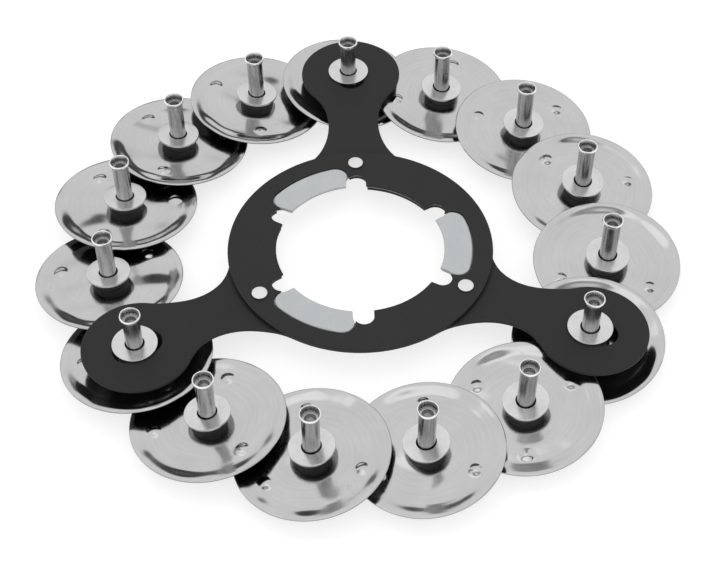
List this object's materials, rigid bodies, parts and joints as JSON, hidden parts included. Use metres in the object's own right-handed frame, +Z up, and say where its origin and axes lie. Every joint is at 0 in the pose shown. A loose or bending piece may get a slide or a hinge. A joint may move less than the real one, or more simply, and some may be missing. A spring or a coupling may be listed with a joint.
{
  "type": "jingle ring",
  "caption": "Ring of loose overlapping metal jingles on upright tubular rivets, held round an open three-armed black plate that sits over a cymbal stand.",
  "frame": {"origin": "on the axis of the rivet circle, in the plane the rivets' lower heads stand on", "axes": "+Z up, away from the cymbal; +Y towards the arm and jingle that are furthest from the camera in the picture; +X to the right"},
  "size_m": [0.152, 0.1514, 0.0196],
  "materials": {
    "jingle_steel": "polished, lightly rippled by stamping",
    "rivet_steel": "satin plated",
    "washer_steel": "satin plated",
    "cover_rivet_steel": "bright",
    "plate_coat": "matt black, fine texture",
    "cover_coat": "matt black, fine texture",
    "carrier_coat": "matt black",
    "grip": "pale, slightly translucent"
  },
  "bodies": {
    "ring": {"carrier_ring": "carrier_coat", "rivet_01": "rivet_steel", "rivet_02": "rivet_steel", "rivet_03": "rivet_steel", "rivet_04": "rivet_steel", "rivet_05": "rivet_steel", "rivet_06": "rivet_steel", "rivet_07": "rivet_steel", "rivet_08": "rivet_steel", "rivet_09": "rivet_steel", "rivet_10": "rivet_steel", "rivet_11": "rivet_steel", "rivet_12": "rivet_steel", "rivet_13": "rivet_steel", "rivet_14": "rivet_steel", "rivet_15": "rivet_steel"},
    "plate": {"centre_plate": "plate_coat", "grip_ring": "grip", "cover_ring": "cover_coat", "cover_rivet_1": "cover_rivet_steel", "cover_rivet_2": "cover_rivet_steel", "cover_rivet_3": "cover_rivet_steel"},
    "jingle_01": {"jingle_01": "jingle_steel"},
    "jingle_02": {"jingle_02": "jingle_steel"},
    "jingle_03": {"jingle_03": "jingle_steel"},
    "jingle_04": {"jingle_04": "jingle_steel"},
    "jingle_05": {"jingle_05": "jingle_steel"},
    "jingle_06": {"jingle_06": "jingle_steel"},
    "jingle_07": {"jingle_07": "jingle_steel"},
    "jingle_08": {"jingle_08": "jingle_steel"},
    "jingle_09": {"jingle_09": "jingle_steel"},
    "jingle_10": {"jingle_10": "jingle_steel"},
    "jingle_11": {"jingle_11": "jingle_steel"},
    "jingle_12": {"jingle_12": "jingle_steel"},
    "jingle_13": {"jingle_13": "jingle_steel"},
    "jingle_14": {"jingle_14": "jingle_steel"},
    "jingle_15": {"jingle_15": "jingle_steel"},
    "washer_01": {"washer_01": "washer_steel"},
    "washer_02": {"washer_02": "washer_steel"},
    "washer_03": {"washer_03": "washer_steel"},
    "washer_04": {"washer_04": "washer_steel"},
    "washer_05": {"washer_05": "washer_steel"},
    "washer_06": {"washer_06": "washer_steel"},
    "washer_07": {"washer_07": "washer_steel"},
    "washer_08": {"washer_08": "washer_steel"},
    "washer_09": {"washer_09": "washer_steel"},
    "washer_10": {"washer_10": "washer_steel"},
    "washer_11": {"washer_11": "washer_steel"},
    "washer_12": {"washer_12": "washer_steel"},
    "washer_13": {"washer_13": "washer_steel"},
    "washer_14": {"washer_14": "washer_steel"},
    "washer_15": {"washer_15": "washer_steel"}
  },
  "joints": [
    {"name": "plate_lift", "type": "slide", "parent": "ring", "child": "plate", "axis": [0, 0, 1], "range_m": [0, 0.0075]},
    {"name": "jingle_01_spin", "type": "hinge", "parent": "plate", "child": "jingle_01", "pos_m": [0, 0.059, 0.00447], "axis": [0.108, 0, 0.9942], "continuous": true},
    {"name": "jingle_02_spin", "type": "hinge", "parent": "plate", "child": "jingle_02", "pos_m": [0.024, 0.0539, 0.00447], "axis": [0.0987, -0.0439, 0.9942], "continuous": true},
    {"name": "jingle_03_spin", "type": "hinge", "parent": "plate", "child": "jingle_03", "pos_m": [0.04385, 0.03948, 0.00447], "axis": [0.0723, -0.0803, 0.9942], "continuous": true},
    {"name": "jingle_04_spin", "type": "hinge", "parent": "plate", "child": "jingle_04", "pos_m": [0.05611, 0.01823, 0.00447], "axis": [0.0334, -0.1027, 0.9942], "continuous": true},
    {"name": "jingle_05_spin", "type": "hinge", "parent": "plate", "child": "jingle_05", "pos_m": [0.05868, -0.00617, 0.00447], "axis": [-0.0113, -0.1074, 0.9942], "continuous": true},
    {"name": "jingle_06_spin", "type": "hinge", "parent": "plate", "child": "jingle_06", "pos_m": [0.0511, -0.0295, 0.00447], "axis": [-0.054, -0.0935, 0.9942], "continuous": true},
    {"name": "jingle_07_spin", "type": "hinge", "parent": "plate", "child": "jingle_07", "pos_m": [0.03468, -0.04773, 0.00447], "axis": [-0.0874, -0.0635, 0.9942], "continuous": true},
    {"name": "jingle_08_spin", "type": "hinge", "parent": "plate", "child": "jingle_08", "pos_m": [0.01227, -0.05771, 0.00447], "axis": [-0.1056, -0.0225, 0.9942], "continuous": true},
    {"name": "jingle_09_spin", "type": "hinge", "parent": "plate", "child": "jingle_09", "pos_m": [-0.01227, -0.05771, 0.00447], "axis": [-0.1056, 0.0225, 0.9942], "continuous": true},
    {"name": "jingle_10_spin", "type": "hinge", "parent": "plate", "child": "jingle_10", "pos_m": [-0.03468, -0.04773, 0.00447], "axis": [-0.0874, 0.0635, 0.9942], "continuous": true},
    {"name": "jingle_11_spin", "type": "hinge", "parent": "plate", "child": "jingle_11", "pos_m": [-0.0511, -0.0295, 0.00447], "axis": [-0.054, 0.0935, 0.9942], "continuous": true},
    {"name": "jingle_12_spin", "type": "hinge", "parent": "plate", "child": "jingle_12", "pos_m": [-0.05868, -0.00617, 0.00447], "axis": [-0.0113, 0.1074, 0.9942], "continuous": true},
    {"name": "jingle_13_spin", "type": "hinge", "parent": "plate", "child": "jingle_13", "pos_m": [-0.05611, 0.01823, 0.00447], "axis": [0.0334, 0.1027, 0.9942], "continuous": true},
    {"name": "jingle_14_spin", "type": "hinge", "parent": "plate", "child": "jingle_14", "pos_m": [-0.04385, 0.03948, 0.00447], "axis": [0.0723, 0.0803, 0.9942], "continuous": true},
    {"name": "jingle_15_spin", "type": "hinge", "parent": "plate", "child": "jingle_15", "pos_m": [-0.024, 0.0539, 0.00447], "axis": [0.0987, 0.0439, 0.9942], "continuous": true},
    {"name": "washer_01_lift", "type": "slide", "parent": "ring", "child": "washer_01", "axis": [0, 0, 1], "range_m": [0, 0.0075]},
    {"name": "washer_02_lift", "type": "slide", "parent": "ring", "child": "washer_02", "axis": [0, 0, 1], "range_m": [0, 0.0075]},
    {"name": "washer_03_lift", "type": "slide", "parent": "ring", "child": "washer_03", "axis": [0, 0, 1], "range_m": [0, 0.0075]},
    {"name": "washer_04_lift", "type": "slide", "parent": "ring", "child": "washer_04", "axis": [0, 0, 1], "range_m": [0, 0.0075]},
    {"name": "washer_05_lift", "type": "slide", "parent": "ring", "child": "washer_05", "axis": [0, 0, 1], "range_m": [0, 0.0075]},
    {"name": "washer_06_lift", "type": "slide", "parent": "ring", "child": "washer_06", "axis": [0, 0, 1], "range_m": [0, 0.0075]},
    {"name": "washer_07_lift", "type": "slide", "parent": "ring", "child": "washer_07", "axis": [0, 0, 1], "range_m": [0, 0.0075]},
    {"name": "washer_08_lift", "type": "slide", "parent": "ring", "child": "washer_08", "axis": [0, 0, 1], "range_m": [0, 0.0075]},
    {"name": "washer_09_lift", "type": "slide", "parent": "ring", "child": "washer_09", "axis": [0, 0, 1], "range_m": [0, 0.0075]},
    {"name": "washer_10_lift", "type": "slide", "parent": "ring", "child": "washer_10", "axis": [0, 0, 1], "range_m": [0, 0.0075]},
    {"name": "washer_11_lift", "type": "slide", "parent": "ring", "child": "washer_11", "axis": [0, 0, 1], "range_m": [0, 0.0075]},
    {"name": "washer_12_lift", "type": "slide", "parent": "ring", "child": "washer_12", "axis": [0, 0, 1], "range_m": [0, 0.0075]},
    {"name": "washer_13_lift", "type": "slide", "parent": "ring", "child": "washer_13", "axis": [0, 0, 1], "range_m": [0, 0.0075]},
    {"name": "washer_14_lift", "type": "slide", "parent": "ring", "child": "washer_14", "axis": [0, 0, 1], "range_m": [0, 0.0075]},
    {"name": "washer_15_lift", "type": "slide", "parent": "ring", "child": "washer_15", "axis": [0, 0, 1], "range_m": [0, 0.0075]}
  ],
  "couplings": [
    {"joint": "washer_01_lift", "follows": "plate_lift", "ratio": 1},
    {"joint": "washer_02_lift", "follows": "plate_lift", "ratio": 1},
    {"joint": "washer_03_lift", "follows": "plate_lift", "ratio": 1},
    {"joint": "washer_04_lift", "follows": "plate_lift", "ratio": 1},
    {"joint": "washer_05_lift", "follows": "plate_lift", "ratio": 1},
    {"joint": "washer_06_lift", "follows": "plate_lift", "ratio": 1},
    {"joint": "washer_07_lift", "follows": "plate_lift", "ratio": 1},
    {"joint": "washer_08_lift", "follows": "plate_lift", "ratio": 1},
    {"joint": "washer_09_lift", "follows": "plate_lift", "ratio": 1},
    {"joint": "washer_10_lift", "follows": "plate_lift", "ratio": 1},
    {"joint": "washer_11_lift", "follows": "plate_lift", "ratio": 1},
    {"joint": "washer_12_lift", "follows": "plate_lift", "ratio": 1},
    {"joint": "washer_13_lift", "follows": "plate_lift", "ratio": 1},
    {"joint": "washer_14_lift", "follows": "plate_lift", "ratio": 1},
    {"joint": "washer_15_lift", "follows": "plate_lift", "ratio": 1}
  ]
}
